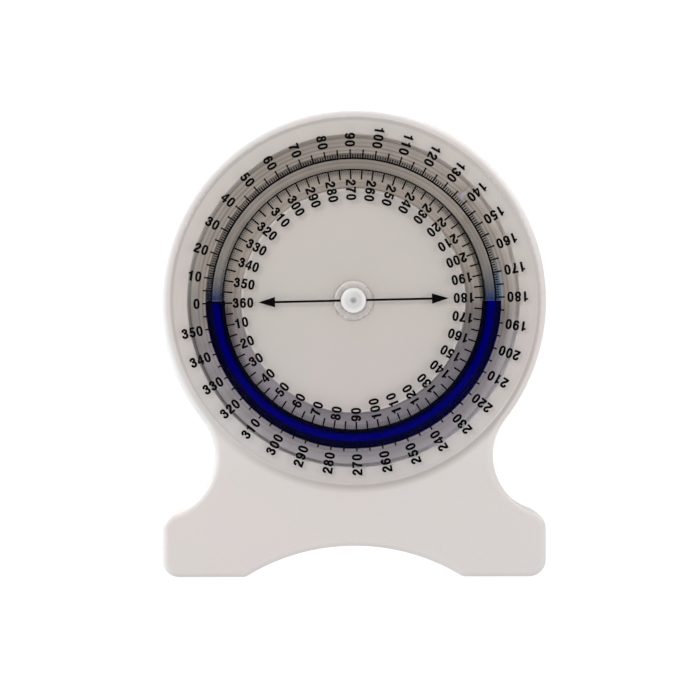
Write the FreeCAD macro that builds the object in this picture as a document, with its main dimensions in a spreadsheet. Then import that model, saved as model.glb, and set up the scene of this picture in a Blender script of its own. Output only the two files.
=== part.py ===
import FreeCAD, Part
import math
import os

import Sketcher

# Fluid inclinometer.
# Frame: +Z up, origin on the resting plane under the middle of the feet, the dial faces -Y.
# The dial turns about a line along Y through the hub.

App = FreeCAD
doc = App.newDocument("inclinometer")
sheet = doc.addObject("Spreadsheet::Sheet", "dims")

DIMS = [
    # outline of the stand
    ("hub_height", 72.8),
    ("head_rad", 50.8),
    ("foot_half", 50.6),
    ("waist_half", 36.7),
    ("waist_rad", 15.65),
    ("foot_top_rad", 4.7),
    ("foot_low_rad", 4.5),
    ("arch_rise", 8.15),
    ("arch_rad", 54.5),
    ("arch_end_rad", 2.5),
    # depths along Y
    ("face_y", -6.5),
    ("joint_y", 8.0),
    ("back_y", 10.0),
    ("wall", 2.0),
    ("edge_rad", 2.0),
    ("back_edge_rad", 0.8),
    # ring trough in the head
    ("trough_in", 29.5),
    ("trough_out", 43.65),
    ("trough_wall", 1.8),
    ("trough_floor_y", 0.4),
    ("trough_back_y", 2.2),
    ("trough_lip_rad", 0.4),
    # hub boss
    ("boss_rad", 5.5),
    ("boss_end_y", 4.0),
    ("bore_rad", 2.05),
    ("spoke_thick", 1.4),
    ("spoke_end_y", -1.5),
    # screws and their bosses
    ("foot_screw_x", 41.0),
    ("foot_screw_z", 10.5),
    ("head_screw_x", 26.0),
    ("head_screw_up", 26.0),
    ("screw_boss_rad", 3.2),
    ("pilot_rad", 1.2),
    ("pilot_depth", 5.2),
    ("screw_hole_rad", 1.65),
    ("sink_width", 1.25),
    ("screw_rad", 1.45),
    ("screw_head_rad", 2.75),
    ("screw_head_high", 1.3),
    ("screw_length", 6.2),
    ("screw_sunk", 0.1),
    ("recess_long", 2.8),
    ("recess_wide", 0.55),
    ("recess_deep", 0.8),
    # ribs of the leg, tabs of the cover
    ("rib_x", 17.0),
    ("rib_thick", 1.5),
    ("rib_low_z", 6.6),
    ("rib_end_y", 4.5),
    ("tab_deep", 2.2),
    ("tab_thick", 1.2),
    ("tab_long", 8.0),
    ("tab_gap", 0.15),
    # dial
    ("lens_front_y", -8.6),
    ("lens_back_y", -6.8),
    ("lens_rad", 48.3),
    ("lens_edge_rad", 0.8),
    ("bead_mid_rad", 4.3),
    ("bead_half", 0.8),
    ("bead_high", 0.32),
    ("parting_y", -4.0),
    ("ring_in", 30.0),
    ("ring_out", 43.15),
    ("ring_flange", 1.4),
    ("tube_mean_rad", 36.5),
    ("tube_bore_rad", 2.64),
    ("tube_wall_rad", 3.9),
    ("fluid_rad", 2.52),
    ("fluid_drop", 0.05),
    ("port_rad", 0.8),
    ("port_angle", 43.8),
    ("plug_rad", 0.78),
    ("plug_length", 2.1),
    # hub pin and what holds it
    ("pin_rad", 2.0),
    ("pin_hole_rad", 2.02),
    ("button_rad", 3.3),
    ("button_front_y", -10.053),
    ("button_edge_y", -9.3),
    ("button_edge_rad", 0.35),
    ("dimple_rad", 0.9),
    ("dimple_deep", 0.42),
    ("pin_end_y", 6.9),
    ("pin_tip", 0.4),
    ("groove_front_y", 5.5),
    ("groove_back_y", 6.2),
    ("groove_rad", 1.5),
    ("washer_in", 2.1),
    ("front_washer_out", 5.4),
    ("front_washer_thick", 0.25),
    ("rear_washer_front_y", 4.05),
    ("rear_washer_thick", 0.4),
    ("rear_washer_out", 5.2),
    ("spring_in", 2.25),
    ("spring_out", 4.8),
    ("spring_thick", 0.4),
    ("spring_rise", 0.7),
    ("clip_thick", 0.6),
    ("clip_out", 4.2),
    ("clip_in", 2.7),
    ("clip_grip", 1.52),
    ("clip_mouth", 2.9),
    ("clip_prong", 1.1),
]

for row, (alias, number) in enumerate(DIMS, start=1):
    sheet.set("A%d" % row, alias)
    sheet.set("B%d" % row, repr(float(number)))
    sheet.setAlias("B%d" % row, alias)
doc.recompute()


class Size:
    """A number together with the sheet expression that gives it."""

    def __init__(self, value, text):
        self.value = float(value)
        self.text = text

    def __add__(self, other):
        other = size(other)
        return Size(self.value + other.value, "(%s + %s)" % (self.text, other.text))

    def __radd__(self, other):
        return size(other) + self

    def __sub__(self, other):
        other = size(other)
        return Size(self.value - other.value, "(%s - %s)" % (self.text, other.text))

    def __rsub__(self, other):
        return size(other) - self

    def __mul__(self, other):
        other = size(other)
        return Size(self.value * other.value, "(%s * %s)" % (self.text, other.text))

    def __rmul__(self, other):
        return size(other) * self

    def __truediv__(self, other):
        other = size(other)
        return Size(self.value / other.value, "(%s / %s)" % (self.text, other.text))

    def __neg__(self):
        return Size(-self.value, "(0 - %s)" % self.text)


def size(number):
    if isinstance(number, Size):
        return number
    return Size(number, "%.6f" % number)


def root(quantity):
    return Size(math.sqrt(quantity.value), "sqrt(%s)" % quantity.text)


def cosine(quantity):
    return Size(
        math.cos(math.radians(quantity.value)), "cos(%s * 1 deg)" % quantity.text
    )


def sine(quantity):
    return Size(
        math.sin(math.radians(quantity.value)), "sin(%s * 1 deg)" % quantity.text
    )


D = {alias: Size(number, "dims.%s" % alias) for alias, number in DIMS}


def plane(body, role):
    for feature in body.Origin.OriginFeatures:
        if feature.Role == role:
            return feature
    raise ValueError("no origin plane %s" % role)


def new_body(label, height=None):
    body = doc.addObject("PartDesign::Body", label)
    body.Label = label
    if height is not None:
        body.Placement = App.Placement(App.Vector(0, 0, height.value), App.Rotation())
        body.setExpression("Placement.Base.z", height.text)
    return body


def new_sketch(body, name, role, along=None):
    """A sketch on one of the body's own planes, moved along the plane's normal."""
    sketch = body.newObject("Sketcher::SketchObject", name)
    sketch.AttachmentSupport = (plane(body, role), [""])
    sketch.MapMode = "FlatFace"
    if along is not None:
        sketch.AttachmentOffset = App.Placement(
            App.Vector(0, 0, along.value), App.Rotation()
        )
        sketch.setExpression("AttachmentOffset.Base.z", along.text)
    return sketch


def face_sketch(body, name, y):
    """A sketch in the XZ plane at depth y. Its normal points along -Y."""
    return new_sketch(body, name, "XZ_Plane", -size(y))


def hold(sketch, geometry, point, x, y):
    """Fixes a point of the sketch at x, y with dimensions taken from the sheet."""
    if x is not None:
        x = size(x)
        if abs(x.value) < 1e-9:
            sketch.addConstraint(
                Sketcher.Constraint("PointOnObject", geometry, point, -2)
            )
        elif x.value > 0:
            n = sketch.addConstraint(
                Sketcher.Constraint("DistanceX", -1, 1, geometry, point, x.value)
            )
            sketch.setExpression("Constraints[%d]" % n, x.text)
        else:
            n = sketch.addConstraint(
                Sketcher.Constraint("DistanceX", geometry, point, -1, 1, -x.value)
            )
            sketch.setExpression("Constraints[%d]" % n, (-x).text)
    if y is not None:
        y = size(y)
        if abs(y.value) < 1e-9:
            sketch.addConstraint(
                Sketcher.Constraint("PointOnObject", geometry, point, -1)
            )
        elif y.value > 0:
            n = sketch.addConstraint(
                Sketcher.Constraint("DistanceY", -1, 1, geometry, point, y.value)
            )
            sketch.setExpression("Constraints[%d]" % n, y.text)
        else:
            n = sketch.addConstraint(
                Sketcher.Constraint("DistanceY", geometry, point, -1, 1, -y.value)
            )
            sketch.setExpression("Constraints[%d]" % n, (-y).text)


def loop(sketch, steps):
    """A closed loop. Each step is (x, y) or (x, y, arc), where arc describes the edge that starts there:
    (centre x, centre y, anticlockwise, "radius" or "cx" or "cy", size of that)."""
    count = len(steps)
    points = [(size(s[0]), size(s[1])) for s in steps]
    edges = []
    for i, step in enumerate(steps):
        a = App.Vector(points[i][0].value, points[i][1].value, 0)
        k = (i + 1) % count
        b = App.Vector(points[k][0].value, points[k][1].value, 0)
        if len(step) == 2:
            g = sketch.addGeometry(Part.LineSegment(a, b), False)
            edges.append((g, 1, 2, None))
        else:
            cx, cy, anticlockwise, what, amount = step[2]
            centre = App.Vector(size(cx).value, size(cy).value, 0)
            first, last = (a, b) if anticlockwise else (b, a)
            start = math.atan2(first.y - centre.y, first.x - centre.x)
            end = math.atan2(last.y - centre.y, last.x - centre.x)
            if end <= start:
                end += 2 * math.pi
            circle = Part.Circle(
                centre, App.Vector(0, 0, 1), first.sub(centre).Length
            )
            g = sketch.addGeometry(Part.ArcOfCircle(circle, start, end), False)
            edges.append(
                (g, 1, 2, (what, amount))
                if anticlockwise
                else (g, 2, 1, (what, amount))
            )
    for i in range(count):
        g, _, last, _ = edges[i]
        h, first, _, _ = edges[(i + 1) % count]
        sketch.addConstraint(Sketcher.Constraint("Coincident", g, last, h, first))
    for i in range(count):
        g, first, _, arc = edges[i]
        hold(sketch, g, first, points[i][0], points[i][1])
        if arc is not None:
            what, amount = arc
            amount = size(amount)
            if what == "radius":
                n = sketch.addConstraint(
                    Sketcher.Constraint("Radius", g, amount.value)
                )
                sketch.setExpression("Constraints[%d]" % n, amount.text)
            elif what == "cx":
                hold(sketch, g, 3, amount, None)
            else:
                hold(sketch, g, 3, None, amount)


def circle(sketch, x, y, radius):
    x, y, radius = size(x), size(y), size(radius)
    g = sketch.addGeometry(
        Part.Circle(
            App.Vector(x.value, y.value, 0), App.Vector(0, 0, 1), radius.value
        ),
        False,
    )
    hold(sketch, g, 3, x, y)
    n = sketch.addConstraint(Sketcher.Constraint("Radius", g, radius.value))
    sketch.setExpression("Constraints[%d]" % n, radius.text)


def rectangle(sketch, x0, x1, y0, y1):
    loop(sketch, [(x0, y0), (x1, y0), (x1, y1), (x0, y1)])


def pad(body, name, sketch, length):
    feature = body.newObject("PartDesign::Pad", name)
    feature.Profile = sketch
    feature.Length = size(length).value
    feature.setExpression("Length", size(length).text)
    return feature


def pocket(body, name, sketch, length=None, reverse=False):
    """Cuts against the sketch's normal, or along it when reversed, and proves that it cut."""
    doc.recompute()
    before = body.Shape.Volume
    feature = body.newObject("PartDesign::Pocket", name)
    feature.Profile = sketch
    feature.Reversed = reverse
    if length is None:
        feature.Type = "ThroughAll"
    else:
        feature.Length = size(length).value
        feature.setExpression("Length", size(length).text)
    doc.recompute()
    after = body.Shape.Volume
    if not after < before - 1e-3:
        raise ValueError("%s cut nothing" % name)
    return feature


def revolve(body, name, sketch):
    feature = body.newObject("PartDesign::Revolution", name)
    feature.Profile = sketch
    feature.ReferenceAxis = (sketch, ["V_Axis"])
    feature.Angle = 360.0
    return feature


def edges_where(shape, test):
    return ["Edge%d" % (i + 1) for i, e in enumerate(shape.Edges) if test(e)]


def fillet(body, name, base, names, radius):
    feature = body.newObject("PartDesign::Fillet", name)
    feature.Base = (base, names)
    feature.Radius = size(radius).value
    feature.setExpression("Radius", size(radius).text)
    return feature


def chamfer(body, name, base, names, amount):
    feature = body.newObject("PartDesign::Chamfer", name)
    feature.Base = (base, names)
    feature.Size = size(amount).value
    feature.setExpression("Size", size(amount).text)
    return feature


def flat_at(y):
    return lambda e: (
        abs(e.BoundBox.YMin - y) < 1e-6 and abs(e.BoundBox.YMax - y) < 1e-6
    )


# ---------------------------------------------------------------- outline
# The head's circle runs into hollow waist arcs, then rounded feet and an arch between them.
# The waist arcs touch the head's circle, so their height follows from their radius.

WAIST_X = D["waist_half"] + D["waist_rad"]
WAIST_Z = D["hub_height"] - root(
    (D["head_rad"] + D["waist_rad"]) * (D["head_rad"] + D["waist_rad"])
    - WAIST_X * WAIST_X
)
TOP_X = D["foot_half"] - D["foot_top_rad"]
TOP_Z = WAIST_Z - root(
    (D["waist_rad"] + D["foot_top_rad"]) * (D["waist_rad"] + D["foot_top_rad"])
    - (WAIST_X - TOP_X) * (WAIST_X - TOP_X)
)
ARCH_Z = D["arch_rise"] - D["arch_rad"]
END_X = root(
    (D["arch_rad"] + D["arch_end_rad"]) * (D["arch_rad"] + D["arch_end_rad"])
    - (D["arch_end_rad"] - ARCH_Z) * (D["arch_end_rad"] - ARCH_Z)
)


def outline(sketch, inset):
    """The stand's outline, moved inwards by inset."""
    o = size(inset)
    head = D["head_rad"] - o
    waist = D["waist_rad"] + o
    top = D["foot_top_rad"] - o
    low = D["foot_low_rad"] - o
    arch = D["arch_rad"] + o
    end = D["arch_end_rad"] - o
    share = head / (D["head_rad"] + D["waist_rad"])
    ax = WAIST_X * share
    az = D["hub_height"] + (WAIST_Z - D["hub_height"]) * share
    share = waist / (D["waist_rad"] + D["foot_top_rad"])
    bx = WAIST_X + (TOP_X - WAIST_X) * share
    bz = WAIST_Z + (TOP_Z - WAIST_Z) * share
    side = D["foot_half"] - o
    low_x = D["foot_half"] - D["foot_low_rad"]
    share = arch / (D["arch_rad"] + D["arch_end_rad"])
    ex = END_X * share
    ez = ARCH_Z + (D["arch_end_rad"] - ARCH_Z) * share
    loop(
        sketch,
        [
            (ax, az, (0, D["hub_height"], True, "radius", head)),
            (-ax, az, (-WAIST_X, WAIST_Z, False, "radius", waist)),
            (-bx, bz, (-TOP_X, TOP_Z, True, "radius", top)),
            (-side, TOP_Z),
            (-side, D["foot_low_rad"], (-low_x, D["foot_low_rad"], True, "radius", low)),
            (-low_x, o),
            (-END_X, o, (-END_X, D["arch_end_rad"], True, "radius", end)),
            (-ex, ez, (0, ARCH_Z, False, "radius", arch)),
            (ex, ez, (END_X, D["arch_end_rad"], True, "radius", end)),
            (END_X, o),
            (low_x, o, (low_x, D["foot_low_rad"], True, "radius", low)),
            (side, D["foot_low_rad"]),
            (side, TOP_Z, (TOP_X, TOP_Z, True, "radius", top)),
            (bx, bz, (WAIST_X, WAIST_Z, False, "radius", waist)),
        ],
    )


HEAD_SCREW_Z = D["hub_height"] + D["head_screw_up"]
SCREWS = [
    (D["foot_screw_x"], D["foot_screw_z"]),
    (-D["foot_screw_x"], D["foot_screw_z"]),
    (D["head_screw_x"], HEAD_SCREW_Z),
    (-D["head_screw_x"], HEAD_SCREW_Z),
]

# ---------------------------------------------------------------- front housing
front_housing = new_body("front_housing")
sk = face_sketch(front_housing, "housing_outline", D["joint_y"])
outline(sk, 0)
block = pad(front_housing, "housing_block", sk, D["joint_y"] - D["face_y"])
doc.recompute()
rim = fillet(
    front_housing,
    "housing_rim",
    block,
    edges_where(block.Shape, flat_at(D["face_y"].value)),
    D["edge_rad"],
)
doc.recompute()

sk = face_sketch(front_housing, "housing_inside", D["joint_y"])
outline(sk, D["wall"])
pocket(
    front_housing,
    "housing_hollow",
    sk,
    D["joint_y"] - D["face_y"] - D["wall"],
    reverse=True,
)

inner_face_y = D["face_y"] + D["wall"]

# ring wall that carries the trough
sk = face_sketch(front_housing, "trough_wall_ring", D["trough_back_y"])
circle(sk, 0, D["hub_height"], D["trough_out"] + D["trough_wall"])
circle(sk, 0, D["hub_height"], D["trough_in"] - D["trough_wall"])
pad(front_housing, "trough_walls", sk, D["trough_back_y"] - inner_face_y + 0.5)

sk = face_sketch(front_housing, "trough_ring", D["face_y"])
circle(sk, 0, D["hub_height"], D["trough_out"])
circle(sk, 0, D["hub_height"], D["trough_in"])
trough = pocket(
    front_housing, "trough", sk, D["trough_floor_y"] - D["face_y"], reverse=False
)

# hub boss with its spokes
sk = face_sketch(front_housing, "hub_boss_ring", D["boss_end_y"])
circle(sk, 0, D["hub_height"], D["boss_rad"])
pad(front_housing, "hub_boss", sk, D["boss_end_y"] - inner_face_y + 0.5)

sk = face_sketch(front_housing, "spoke_sketch", D["spoke_end_y"])
rectangle(
    sk,
    D["boss_rad"] - 1,
    D["trough_in"] - D["trough_wall"] + 0.8,
    D["hub_height"] - D["spoke_thick"] / 2,
    D["hub_height"] + D["spoke_thick"] / 2,
)
spoke = pad(
    front_housing, "spoke", sk, D["spoke_end_y"] - inner_face_y + 0.5
)
doc.recompute()

# an upright line through the sketch's origin is of no use for turning about the hub, so the axis is a circle's centre line
axis_sketch = face_sketch(front_housing, "hub_axis", D["face_y"])
axis_sketch.AttachmentOffset = App.Placement(
    App.Vector(0, D["hub_height"].value, -D["face_y"].value), App.Rotation()
)
axis_sketch.setExpression("AttachmentOffset.Base.y", D["hub_height"].text)
circle(axis_sketch, 0, 0, D["bore_rad"])
doc.recompute()
spokes = front_housing.newObject("PartDesign::PolarPattern", "spokes")
spokes.Originals = [spoke]
spokes.Axis = (axis_sketch, ["N_Axis"])
spokes.Angle = 360.0
spokes.Occurrences = 6
front_housing.Tip = spokes
doc.recompute()

sk = face_sketch(front_housing, "hub_bore_circle", D["face_y"])
circle(sk, 0, D["hub_height"], D["bore_rad"])
pocket(front_housing, "hub_bore", sk, None, reverse=False)

# screw bosses: long ones in the feet, short ones behind the trough
sk = face_sketch(front_housing, "foot_boss_circles", D["joint_y"])
for x, z in SCREWS[:2]:
    circle(sk, x, z, D["screw_boss_rad"])
pad(front_housing, "foot_bosses", sk, D["joint_y"] - inner_face_y + 0.5)
sk = face_sketch(front_housing, "head_boss_circles", D["joint_y"])
for x, z in SCREWS[2:]:
    circle(sk, x, z, D["screw_boss_rad"])
pad(front_housing, "head_bosses", sk, D["joint_y"] - D["trough_back_y"] + 0.5)
doc.recompute()
sk = face_sketch(front_housing, "pilot_circles", D["joint_y"])
for x, z in SCREWS:
    circle(sk, x, z, D["pilot_rad"])
pocket(front_housing, "pilot_holes", sk, D["pilot_depth"], reverse=True)

# ribs between the arch and the ring wall
sk = face_sketch(front_housing, "leg_rib_sketch", D["rib_end_y"])
rib_top = (
    D["hub_height"]
    - root(
        (D["trough_out"] + D["trough_wall"]) * (D["trough_out"] + D["trough_wall"])
        - (D["rib_x"] + D["rib_thick"]) * (D["rib_x"] + D["rib_thick"])
    )
    + 1.0
)
rectangle(sk, D["rib_x"], D["rib_x"] + D["rib_thick"], D["rib_low_z"], rib_top)
rectangle(sk, -D["rib_x"] - D["rib_thick"], -D["rib_x"], D["rib_low_z"], rib_top)
pad(front_housing, "leg_ribs", sk, D["rib_end_y"] - inner_face_y + 0.5)
doc.recompute()

# the trough's two front lips are slightly rounded
tip = front_housing.Tip


def trough_lip(e):
    if not flat_at(D["face_y"].value)(e) or not hasattr(e.Curve, "Radius"):
        return False
    return (
        abs(e.Curve.Radius - D["trough_in"].value) < 1e-6
        or abs(e.Curve.Radius - D["trough_out"].value) < 1e-6
    )


fillet(
    front_housing,
    "trough_lips",
    tip,
    edges_where(tip.Shape, trough_lip),
    D["trough_lip_rad"],
)
doc.recompute()

# ---------------------------------------------------------------- rear cover
rear_cover = new_body("rear_cover")
sk = face_sketch(rear_cover, "cover_outline", D["back_y"])
outline(sk, 0)
plate = pad(rear_cover, "cover_plate", sk, D["back_y"] - D["joint_y"])
doc.recompute()
cover_edge = fillet(
    rear_cover,
    "cover_edge",
    plate,
    edges_where(plate.Shape, flat_at(D["back_y"].value)),
    D["back_edge_rad"],
)
doc.recompute()

# locating tabs that reach just inside the housing wall
inside = D["wall"] + D["tab_gap"]
sk = face_sketch(rear_cover, "tab_sketch", D["joint_y"] + 0.4)
half = D["tab_long"] / 2
top_z = D["hub_height"] + D["head_rad"] - inside - 0.25
rectangle(sk, -half, half, top_z - D["tab_thick"], top_z)
side_x = D["head_rad"] - inside - 0.25
for s in (1, -1):
    outer = s * side_x
    inner = s * (side_x - D["tab_thick"])
    x0, x1 = (inner, outer) if s > 0 else (outer, inner)
    rectangle(sk, x0, x1, D["hub_height"] - half, D["hub_height"] + half)
    outer = s * (D["foot_half"] - inside)
    inner = s * (D["foot_half"] - inside - D["tab_thick"])
    x0, x1 = (inner, outer) if s > 0 else (outer, inner)
    rectangle(sk, x0, x1, D["foot_low_rad"] + 1.6, D["foot_low_rad"] + 1.6 + half)
rectangle(
    sk,
    -half,
    half,
    D["arch_rise"] + inside + 0.25,
    D["arch_rise"] + inside + 0.25 + D["tab_thick"],
)
pad(rear_cover, "tabs", sk, D["tab_deep"] + 0.4)
doc.recompute()

sk = face_sketch(rear_cover, "cover_hole_circles", D["joint_y"])
for x, z in SCREWS:
    circle(sk, x, z, D["screw_hole_rad"])
holes = pocket(rear_cover, "cover_holes", sk, D["back_y"] - D["joint_y"] + 1)


def hole_mouth(e):
    return (
        flat_at(D["back_y"].value)(e)
        and hasattr(e.Curve, "Radius")
        and abs(e.Curve.Radius - D["screw_hole_rad"].value) < 1e-6
    )


chamfer(
    rear_cover,
    "cover_sinks",
    holes,
    edges_where(holes.Shape, hole_mouth),
    D["sink_width"],
)
doc.recompute()


# ---------------------------------------------------------------- cover screws
def bound(obj, **values):
    for name, quantity in values.items():
        quantity = size(quantity)
        setattr(obj, name, quantity.value)
        obj.setExpression(name, quantity.text)


def placed(obj, x, y, z, rotation=None):
    x, y, z = size(x), size(y), size(z)
    obj.Placement = App.Placement(
        App.Vector(x.value, y.value, z.value), rotation or App.Rotation()
    )
    for letter, quantity in (("x", x), ("y", y), ("z", z)):
        if "dims" in quantity.text:
            obj.setExpression("Placement.Base.%s" % letter, quantity.text)


to_front = App.Rotation(App.Vector(1, 0, 0), 90)  # a primitive's own Z along -Y
screws = []
for n, (x, z) in enumerate(SCREWS, start=1):
    head_y = D["back_y"] - D["screw_sunk"]
    head = doc.addObject("Part::Cone", "screw_head_%d" % n)
    bound(
        head,
        Radius1=D["screw_head_rad"],
        Radius2=D["screw_rad"],
        Height=D["screw_head_high"],
    )
    placed(head, x, head_y, z, to_front)
    shank = doc.addObject("Part::Cylinder", "screw_shank_%d" % n)
    bound(
        shank,
        Radius=D["screw_rad"],
        Height=D["screw_length"] - D["screw_head_high"] + 0.1,
    )
    placed(shank, x, head_y - D["screw_head_high"] + 0.1, z, to_front)
    whole = doc.addObject("Part::Fuse", "screw_blank_%d" % n)
    whole.Base = head
    whole.Tool = shank
    slots = []
    for turn in (0, 1):
        arm = doc.addObject("Part::Box", "recess_%d_%d" % (n, turn))
        across, up = (
            (D["recess_long"], D["recess_wide"])
            if turn == 0
            else (D["recess_wide"], D["recess_long"])
        )
        bound(arm, Length=across, Width=D["recess_deep"] + 1, Height=up)
        placed(arm, x - across / 2, head_y - D["recess_deep"], z - up / 2)
        slots.append(arm)
    cross = doc.addObject("Part::Fuse", "recess_%d" % n)
    cross.Base = slots[0]
    cross.Tool = slots[1]
    screw = doc.addObject("Part::Cut", "screw_%d" % n)
    screw.Base = whole
    screw.Tool = cross
    screws.append(screw)
cover_screws = doc.addObject("Part::Compound", "cover_screws")
cover_screws.Label = "cover_screws"
cover_screws.Links = screws
doc.recompute()

# ---------------------------------------------------------------- clear dial disc
# Turned section: a flat disc, a low rounded bead round the button, and behind it a thick ring
# that holds the front half of the round channel.
TUBE_A = D["tube_mean_rad"] - D["tube_bore_rad"]
TUBE_B = D["tube_mean_rad"] + D["tube_bore_rad"]
bead_curve = (D["bead_half"] * D["bead_half"] + D["bead_high"] * D["bead_high"]) / (
    2 * D["bead_high"]
)
dial_lens = new_body("dial_lens", D["hub_height"])
sk = new_sketch(dial_lens, "lens_section", "XY_Plane")
loop(
    sk,
    [
        (D["pin_hole_rad"], D["lens_front_y"]),
        (D["pin_hole_rad"], D["lens_back_y"]),
        (D["ring_in"] - 0.15, D["lens_back_y"]),
        (D["ring_in"], D["parting_y"]),
        (
            TUBE_A,
            D["parting_y"],
            (D["tube_mean_rad"], D["parting_y"], True, "cy", D["parting_y"]),
        ),
        (TUBE_B, D["parting_y"]),
        (D["ring_out"], D["parting_y"]),
        (D["ring_out"] + 0.15, D["lens_back_y"]),
        (D["lens_rad"] - 0.2, D["lens_back_y"]),
        (D["lens_rad"], D["lens_back_y"] - 0.2),
        (
            D["lens_rad"],
            D["lens_front_y"] + D["lens_edge_rad"],
            (
                D["lens_rad"] - D["lens_edge_rad"],
                D["lens_front_y"] + D["lens_edge_rad"],
                False,
                "radius",
                D["lens_edge_rad"],
            ),
        ),
        (D["lens_rad"] - D["lens_edge_rad"], D["lens_front_y"]),
        (
            D["bead_mid_rad"] + D["bead_half"],
            D["lens_front_y"],
            (
                D["bead_mid_rad"],
                D["lens_front_y"] + bead_curve - D["bead_high"],
                False,
                "radius",
                bead_curve,
            ),
        ),
        (D["bead_mid_rad"] - D["bead_half"], D["lens_front_y"]),
    ],
)
revolve(dial_lens, "lens_turned", sk)
doc.recompute()


def port(body, name, length):
    """The filling port: a round way from the channel out through the ring, along the parting plane."""
    before = body.Shape.Volume
    feature = body.newObject("PartDesign::SubtractiveCylinder", name)
    feature.Radius = D["port_rad"].value
    feature.setExpression("Radius", D["port_rad"].text)
    feature.Height = size(length).value
    feature.setExpression("Height", size(length).text)
    x = TUBE_B * cosine(D["port_angle"]) - 0.4 * cosine(D["port_angle"])
    z = TUBE_B * sine(D["port_angle"]) - 0.4 * sine(D["port_angle"])
    feature.Placement = App.Placement(
        App.Vector(x.value, D["parting_y"].value, z.value),
        App.Rotation(App.Vector(0, 1, 0), 90 - D["port_angle"].value),
    )
    doc.recompute()
    if not body.Shape.Volume < before - 1e-3:
        raise ValueError("%s cut nothing" % name)


port(dial_lens, "lens_port", D["ring_out"] - TUBE_B + 1.5)

# ---------------------------------------------------------------- rear half of the channel
channel_ring = new_body("channel_ring", D["hub_height"])
flange_y = D["parting_y"] + D["ring_flange"]
reach = root(
    D["tube_wall_rad"] * D["tube_wall_rad"] - D["ring_flange"] * D["ring_flange"]
)
sk = new_sketch(channel_ring, "channel_section", "XY_Plane")
loop(
    sk,
    [
        (D["ring_in"], D["parting_y"]),
        (
            TUBE_A,
            D["parting_y"],
            (D["tube_mean_rad"], D["parting_y"], False, "cy", D["parting_y"]),
        ),
        (TUBE_B, D["parting_y"]),
        (D["ring_out"], D["parting_y"]),
        (D["ring_out"], flange_y),
        (
            D["tube_mean_rad"] + reach,
            flange_y,
            (
                D["tube_mean_rad"],
                D["parting_y"],
                True,
                "radius",
                D["tube_wall_rad"],
            ),
        ),
        (D["tube_mean_rad"] - reach, flange_y),
        (D["ring_in"], flange_y),
    ],
)
revolve(channel_ring, "channel_turned", sk)
doc.recompute()
port(channel_ring, "channel_port", D["ring_out"] - TUBE_B + 1.5)

fill_plug = doc.addObject("Part::Cylinder", "fill_plug")
fill_plug.Label = "fill_plug"
bound(fill_plug, Radius=D["plug_rad"], Height=D["plug_length"])
placed(
    fill_plug,
    (TUBE_B + 0.12) * cosine(D["port_angle"]),
    D["parting_y"],
    D["hub_height"] + (TUBE_B + 0.12) * sine(D["port_angle"]),
    App.Rotation(App.Vector(0, 1, 0), 90 - D["port_angle"].value),
)

# ---------------------------------------------------------------- liquid
# The lower half of a round ring, cut level just under the hub.
torus = doc.addObject("Part::Torus", "fluid_ring")
bound(torus, Radius1=D["tube_mean_rad"], Radius2=D["fluid_rad"])
torus.Angle3 = 360
placed(torus, 0, D["parting_y"], D["hub_height"], to_front)
above = doc.addObject("Part::Box", "air_space")
bound(
    above,
    Length=3 * D["tube_mean_rad"],
    Width=4 * D["fluid_rad"],
    Height=2 * D["tube_mean_rad"],
)
placed(
    above,
    -1.5 * D["tube_mean_rad"],
    D["parting_y"] - 2 * D["fluid_rad"],
    D["hub_height"] - D["fluid_drop"],
)
indicator_fluid = doc.addObject("Part::Cut", "indicator_fluid")
indicator_fluid.Label = "indicator_fluid"
indicator_fluid.Base = torus
indicator_fluid.Tool = above
doc.recompute()

# ---------------------------------------------------------------- hub pin
# A domed button on a stem, with a dimple in the button and a groove for the snap ring.
hub_pin = new_body("hub_pin", D["hub_height"])
dome = D["button_edge_y"] - D["button_front_y"]
dome_rad = (D["button_rad"] * D["button_rad"] + dome * dome) / (2 * dome)
dome_y = D["button_front_y"] + dome_rad
lip_y = dome_y - root(dome_rad * dome_rad - D["dimple_rad"] * D["dimple_rad"])
dimple_bottom = lip_y + D["dimple_deep"]
dimple_curve = (
    D["dimple_rad"] * D["dimple_rad"] + D["dimple_deep"] * D["dimple_deep"]
) / (2 * D["dimple_deep"])
sk = new_sketch(hub_pin, "pin_section", "XY_Plane")
loop(
    sk,
    [
        (
            0,
            dimple_bottom,
            (0, dimple_bottom - dimple_curve, False, "radius", dimple_curve),
        ),
        (D["dimple_rad"], lip_y, (0, dome_y, True, "radius", dome_rad)),
        (D["button_rad"], D["button_edge_y"]),
        (D["button_rad"], D["lens_front_y"]),
        (D["pin_rad"], D["lens_front_y"]),
        (D["pin_rad"], D["groove_front_y"]),
        (D["groove_rad"], D["groove_front_y"]),
        (D["groove_rad"], D["groove_back_y"]),
        (D["pin_rad"], D["groove_back_y"]),
        (D["pin_rad"], D["pin_end_y"] - D["pin_tip"]),
        (D["pin_rad"] - D["pin_tip"], D["pin_end_y"]),
        (0, D["pin_end_y"]),
    ],
)
turned = revolve(hub_pin, "pin_turned", sk)
doc.recompute()


def button_edge(e):
    return (
        flat_at(D["button_edge_y"].value)(e)
        and hasattr(e.Curve, "Radius")
        and abs(e.Curve.Radius - D["button_rad"].value) < 1e-6
    )


fillet(
    hub_pin,
    "button_edge",
    turned,
    edges_where(turned.Shape, button_edge),
    D["button_edge_rad"],
)
doc.recompute()

# ---------------------------------------------------------------- washers and snap ring
front_washer = new_body("front_washer", D["hub_height"])
sk = new_sketch(front_washer, "front_washer_section", "XY_Plane")
rectangle(
    sk,
    D["washer_in"],
    D["front_washer_out"],
    D["lens_back_y"],
    D["lens_back_y"] + D["front_washer_thick"],
)
revolve(front_washer, "front_washer_turned", sk)

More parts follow.
